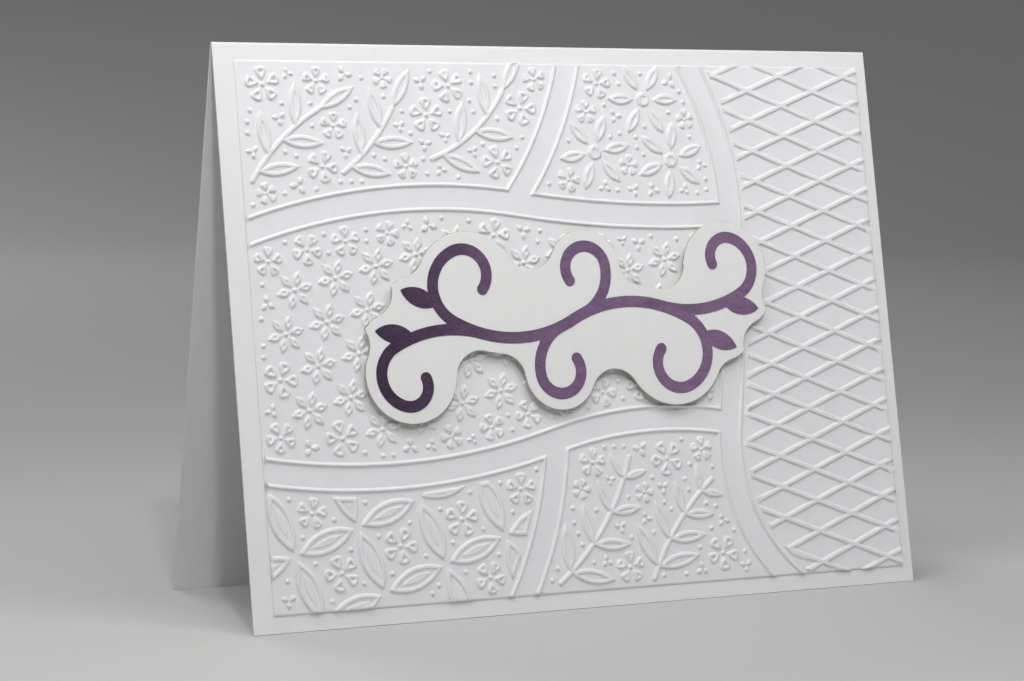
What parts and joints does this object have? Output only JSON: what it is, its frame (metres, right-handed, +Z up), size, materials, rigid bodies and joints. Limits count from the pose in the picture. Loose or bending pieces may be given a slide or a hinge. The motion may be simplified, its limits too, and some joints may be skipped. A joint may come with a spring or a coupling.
{
  "type": "greeting card",
  "caption": "Folded tent greeting card with an embossed white front panel and a raised die-cut label that carries a purple foil scroll.",
  "frame": {"origin": "on the floor, midway between the two feet and midway across the card", "axes": "+X across the card, left to right seen from the front; +Y from the front leaf to the back leaf; +Z up"},
  "size_m": [0.1396, 0.0472, 0.1056],
  "materials": {
    "card": "smooth uncoated white card stock",
    "panel": "dry embossed white card stock",
    "foam": "white closed-cell foam",
    "label": "warm white card stock",
    "foil": "purple metallic foil with a fine grain"
  },
  "bodies": {
    "root": {"card_blank": "card", "embossed_panel": "panel", "foam_pads": "foam", "label": "label", "foil_ornament": "foil"}
  },
  "joints": []
}
